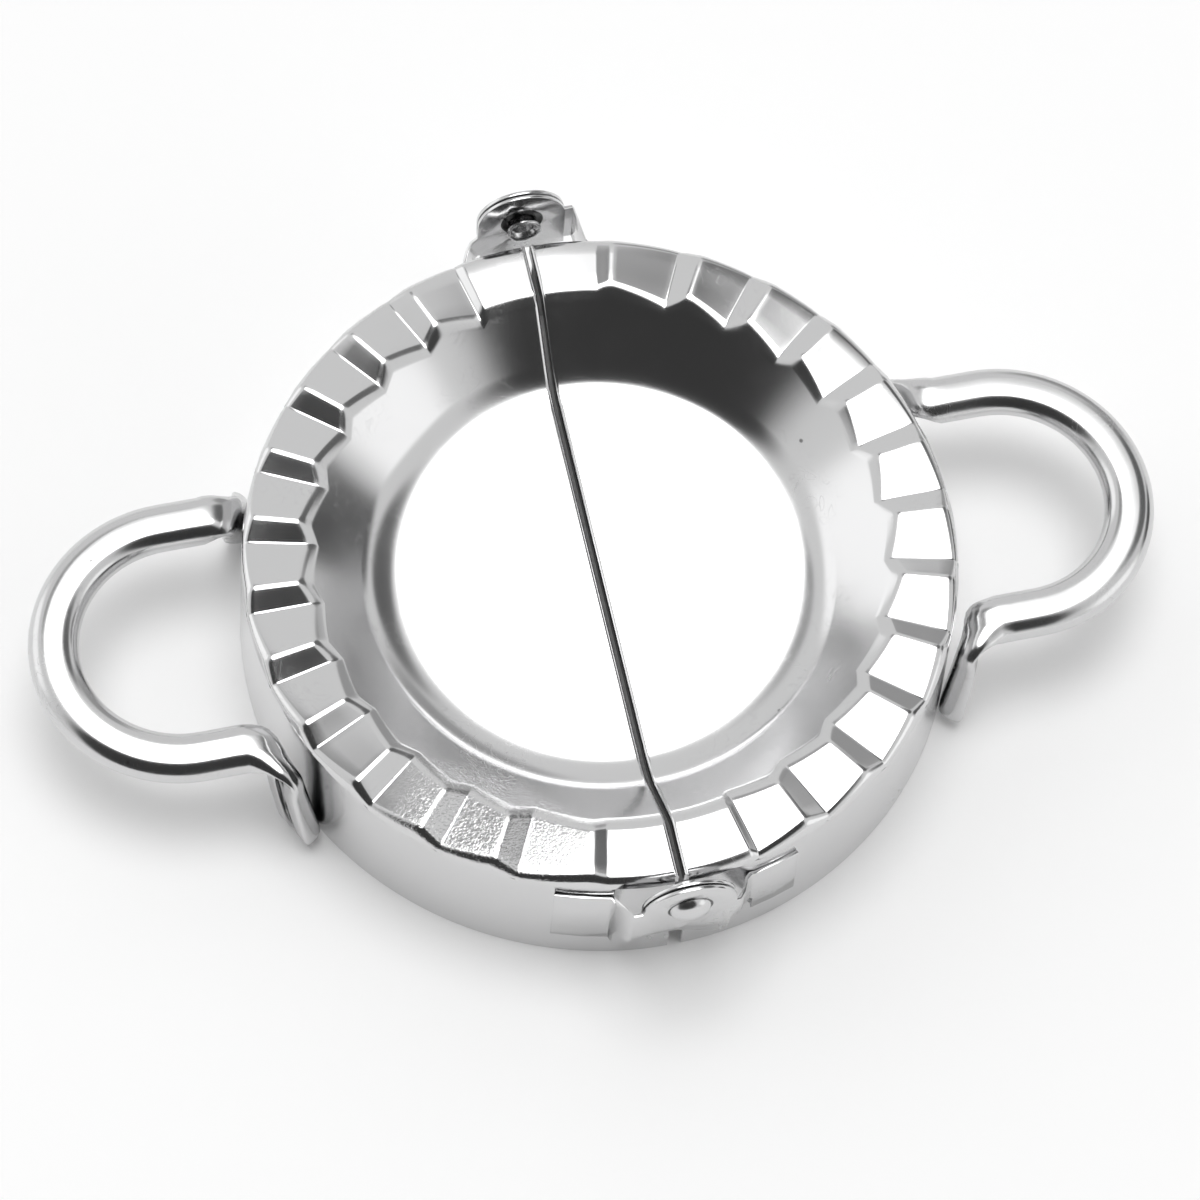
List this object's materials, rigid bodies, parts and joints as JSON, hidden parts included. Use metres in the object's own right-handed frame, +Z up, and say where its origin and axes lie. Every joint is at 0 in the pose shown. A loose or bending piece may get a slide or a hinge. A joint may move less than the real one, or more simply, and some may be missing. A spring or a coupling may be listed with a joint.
{
  "type": "empanada press",
  "caption": "Folding steel empanada press lying open: two crimped half moulds with bowl recesses, riveted side hinges and loop handles.",
  "frame": {"origin": "on the table under the middle of the open ring: centre of the bounding box, at the level of the cutting edge", "axes": "+Z up, away from the table; +Y along the hinge line, from the front hinge to the rear hinge; +X across the hinge line, towards the right handle"},
  "size_m": [0.1528, 0.1062, 0.0283],
  "materials": {
    "pressed_sheet": "bright pressed stainless steel with fine swirl marks",
    "handle_strip": "bright polished stainless steel",
    "hinge_plate": "satin stainless steel sheet",
    "rivet": "bright stainless steel"
  },
  "bodies": {
    "left_half": {"left_half_mould": "pressed_sheet", "left_handle": "handle_strip", "front_outer_bracket": "hinge_plate", "rear_inner_bracket": "hinge_plate", "front_rivet": "rivet"},
    "right_half": {"right_half_mould": "pressed_sheet", "right_handle": "handle_strip", "rear_outer_bracket": "hinge_plate", "front_inner_bracket": "hinge_plate", "rear_rivet": "rivet"}
  },
  "joints": [
    {"name": "fold", "type": "hinge", "parent": "left_half", "child": "right_half", "pos_m": [0, 0, 0.02225], "axis": [0, -1, 0], "range_deg": [-3, 180]}
  ]
}
